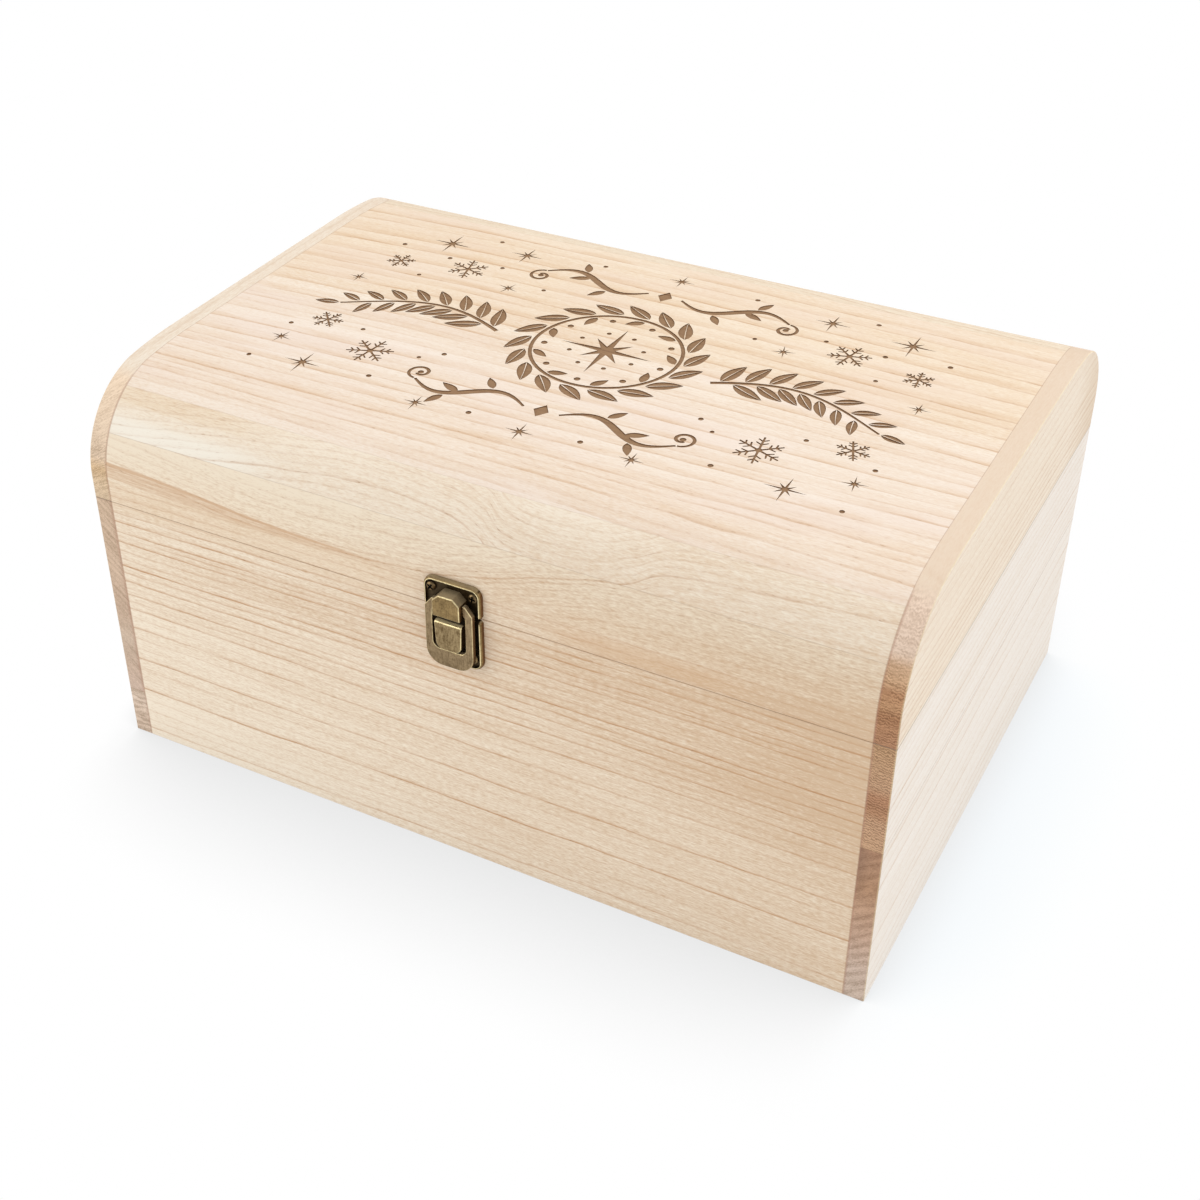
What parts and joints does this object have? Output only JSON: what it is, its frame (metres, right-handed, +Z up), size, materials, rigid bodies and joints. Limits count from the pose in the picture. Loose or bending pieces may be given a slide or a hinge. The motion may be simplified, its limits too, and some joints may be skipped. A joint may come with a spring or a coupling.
{
  "type": "wooden keepsake box",
  "caption": "Rectangular wooden keepsake box with a shallow domed lid hinged at the back, thick end boards, a sawn seam and a front latch with a swinging ring.",
  "frame": {"origin": "centre of the underside, on the surface that the box stands on", "axes": "+Z up; the front with the latch faces -Y; +X runs to the right along the front, the lid's hinge axis is parallel to X"},
  "size_m": [0.4, 0.299, 0.2019],
  "materials": {
    "front_board": "satin sanded bare wood, fine straight grain along the box",
    "stave": "satin sanded bare wood, plain grain",
    "top_board": "satin sanded bare wood, straight tan growth lines",
    "end_board": "satin sanded bare wood, end grain on its edges",
    "bottom_board": "thin plywood",
    "antique_brass": "antiqued, dark recesses and worn bright edges",
    "nail_steel": "plain steel"
  },
  "bodies": {
    "base": {"base_front_panel": "front_board", "base_back_panel": "front_board", "base_left_end_lower": "end_board", "base_left_end_upper": "end_board", "base_right_end_lower": "end_board", "base_right_end_upper": "end_board", "base_bottom_panel": "bottom_board", "base_bottom_brads": "nail_steel", "hinge_left_base_leaf": "antique_brass", "hinge_right_base_leaf": "antique_brass", "hinge_left_pin": "antique_brass", "hinge_right_pin": "antique_brass", "base_hinge_screws": "antique_brass", "catch_plate": "antique_brass", "catch_tongue": "antique_brass", "catch_screws": "antique_brass"},
    "lid": {"lid_front_rail": "front_board", "lid_front_lower_stave": "stave", "lid_front_upper_stave": "stave", "lid_top_board": "top_board", "lid_back_upper_stave": "stave", "lid_back_lower_stave": "stave", "lid_back_rail": "front_board", "lid_left_end": "end_board", "lid_right_end": "end_board", "hinge_left_lid_leaf": "antique_brass", "hinge_right_lid_leaf": "antique_brass", "lid_hinge_screws": "antique_brass", "keeper_plate": "antique_brass", "keeper_boss": "antique_brass", "keeper_screws": "antique_brass"},
    "latch_ring": {"latch_ring": "antique_brass"}
  },
  "joints": [
    {"name": "lid_hinge", "type": "hinge", "parent": "base", "child": "lid", "pos_m": [0, 0.1449, 0.1424], "axis": [-1, 0, 0], "range_deg": [0, 105]},
    {"name": "ring_swing", "type": "hinge", "parent": "lid", "child": "latch_ring", "pos_m": [-0.0003, -0.1469, 0.1476], "axis": [-1, 0, 0], "range_deg": [0, 150]}
  ]
}
